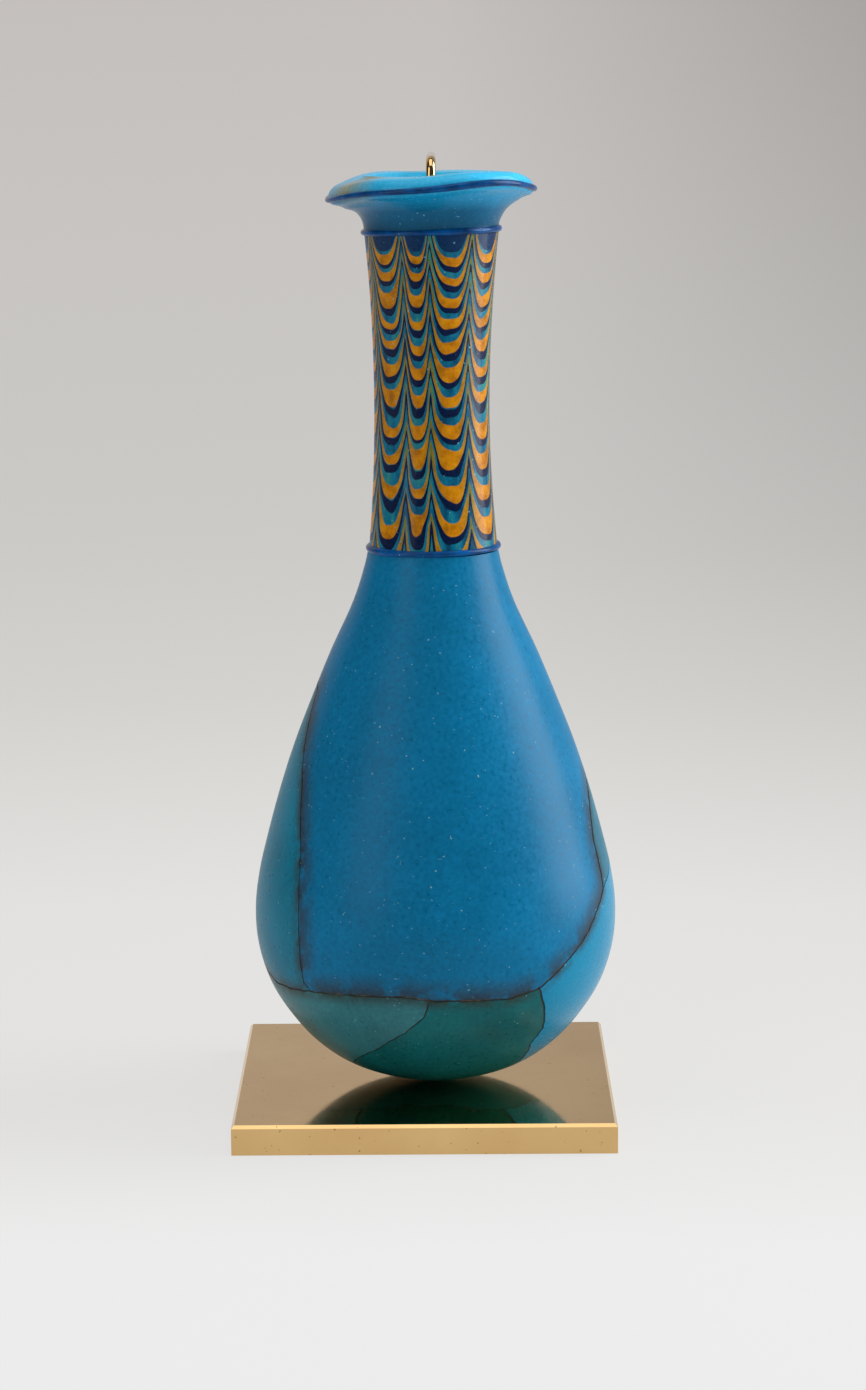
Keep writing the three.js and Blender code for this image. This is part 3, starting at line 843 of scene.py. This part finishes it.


# Matt paper with painted shade that fades from white in front to warm grey behind, and a painted glow that
# the camera and reflections see
def seamlessPaper():
    material, tree, shader = newMaterial("seamless_paper")
    down = addNode(tree, "Attribute", {}, "Fac", attribute_name="paperLow")
    across = addNode(tree, "Attribute", {}, "Fac", attribute_name="paperSide")
    # Painted shade down the picture, grey at the top and white at the bottom
    paintedLightTones = [(at, toLinear(colour)) for at, colour in paper["paintedLightTones"]]
    tone = addNode(tree, "ValToRGB", {"Fac": down}, "Color", paintedLightTones)
    # Painted shade that darkens the upper right corner
    right = addNode(tree, "ValToRGB", {"Fac": across}, "Color", [(0.5, grey(0)), (1.0, grey(1))])
    high = addNode(tree, "ValToRGB", {"Fac": down}, "Color", [(0.0, grey(paper["corner"])), (0.75, grey(0))])
    shade = addNode(tree, "Math", {0: right, 1: high}, operation="MULTIPLY")
    kept = addNode(tree, "Math", {0: 1.0, 1: shade}, operation="SUBTRACT")
    shaded = addNode(tree, "Mix", {"Factor": 1.0, 6: tone, 7: kept}, 2, **tint)
    feed(tree, shader, {"Base Color": toLinear("#dcdcdc"), "Roughness": 0.95, "Specular IOR Level": 0.0})
    # A painted glow: camera rays and reflections see this shaded colour whatever light falls on the paper
    glow = addNode(tree, "Emission", {"Color": shaded, "Strength": 1.0})
    toCamera = addNode(tree, "LightPath", {}, "Is Camera Ray")
    inGloss = addNode(tree, "LightPath", {}, "Is Glossy Ray")
    seen = addNode(tree, "Math", {0: toCamera, 1: inGloss}, operation="MAXIMUM")
    share = addNode(tree, "Math", {0: seen, 1: paper["own"]}, operation="MULTIPLY")
    surface = addNode(tree, "MixShader", {0: share, 1: shader.outputs[0], 2: glow})
    feed(tree, tree.nodes["Material Output"], {"Surface": surface})
    return material


def buildStage():
    print("stage")
    mesh = bmesh.new()
    halfDepth = (paper["bendStart"] - paper["front"]) / 2
    level = -paper["drop"]
    grid = bmesh.ops.create_grid(mesh, x_segments=paper["columns"], y_segments=paper["rows"], size=1)
    floor = grid["verts"]
    bmesh.ops.scale(mesh, verts=floor, vec=(paper["halfWidth"], halfDepth, 1))
    bmesh.ops.translate(mesh, verts=floor, vec=(0, paper["front"] + halfDepth, level))
    rear = max(vertex.co.y for vertex in floor) - mm
    row = [edge for edge in mesh.edges if all(corner.co.y > rear for corner in edge.verts)]
    row = bendOver(mesh, row, (0, paper["bendStart"], paper["bendRadius"] + level), paper["bendSteps"])
    drawOut(mesh, row, (0, 0, paper["top"] - paper["bendRadius"]))
    piece = finishMesh("sweep", mesh)
    measured(piece, "paperLow", pictureDown)
    measured(piece, "paperSide", pictureAcross)
    piece.data.materials.append(seamlessPaper())


# Softboxes in metres and watts. The room is dimmer in reflections than as light that falls on things.
softboxes = {
    "right_softbox": {"place": (0.62, 0.06, 0.30), "size": (0.42, 0.70), "watts": 6.6},
    "left_softbox": {"place": (-0.50, -0.50, 0.34), "size": (0.35, 0.60), "watts": 1.3},
    "top_softbox": {"place": (0.0, -0.10, 0.95), "size": (0.8, 0.8), "watts": 3.0},
}
room = {"light": 0.36, "shine": 0.06, "aim": (0, 0, 0.08)}


def buildLights():
    print("lights")
    for name, softbox in softboxes.items():
        light = bpy.data.lights.new(name, "AREA")
        light.shape = "RECTANGLE"
        light.size, light.size_y = softbox["size"]
        light.energy = softbox["watts"]
        lamp = bpy.data.objects.new(name, light)
        bpy.context.scene.collection.objects.link(lamp)
        lamp.location = softbox["place"]
        towards = Vector(room["aim"]) - Vector(softbox["place"])
        lamp.rotation_euler = towards.to_track_quat("-Z", "Y").to_euler()
    world = bpy.data.worlds.new("studio")
    bpy.context.scene.world = world
    world.use_nodes = True
    tree = world.node_tree
    inGloss = addNode(tree, "LightPath", {}, "Is Glossy Ray")
    strength = addNode(tree, "Math", {0: inGloss, 1: room["shine"] - room["light"], 2: room["light"]},
                       operation="MULTIPLY_ADD")
    feed(tree, tree.nodes["Background"], {"Color": grey(1), "Strength": strength})


def buildCamera():
    data = bpy.data.cameras.new("camera")
    data.sensor_fit = "VERTICAL"
    data.sensor_height = camera["sensor"]
    data.lens = camera["sensor"] * camera["focal"] / camera["high"]
    data.clip_start = 0.05
    viewer = bpy.data.objects.new("camera", data)
    bpy.context.scene.collection.objects.link(viewer)
    down = math.radians(camera["down"])
    right = math.radians(camera["right"])
    roll = math.radians(camera["roll"])
    level = Vector((math.sin(right), math.cos(right), 0))
    forward = level * math.cos(down) - Vector((0, 0, math.sin(down)))
    across = forward.cross(Vector((0, 0, 1))).normalized()
    up = across.cross(forward)
    rolledAcross = across * math.cos(roll) + up * math.sin(roll)
    rolledUp = up * math.cos(roll) - across * math.sin(roll)
    rotation = Matrix((rolledAcross, rolledUp, -forward)).transposed()
    viewer.matrix_world = Matrix.Translation(Vector(camera["place"]) * mm) @ rotation.to_4x4()
    bpy.context.scene.camera = viewer


brass = polishedBrass()
darkThread = threadGlass()
for node in ("base_plate", "post"):
    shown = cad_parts[node]
    shown.data.materials.clear()
    shown.data.materials.append(brass)

buildBody()
buildNeck()
buildRim()
buildThreads()
buildHook()
buildStage()
buildLights()
buildCamera()
bpy.context.scene.view_settings.view_transform = "Standard"
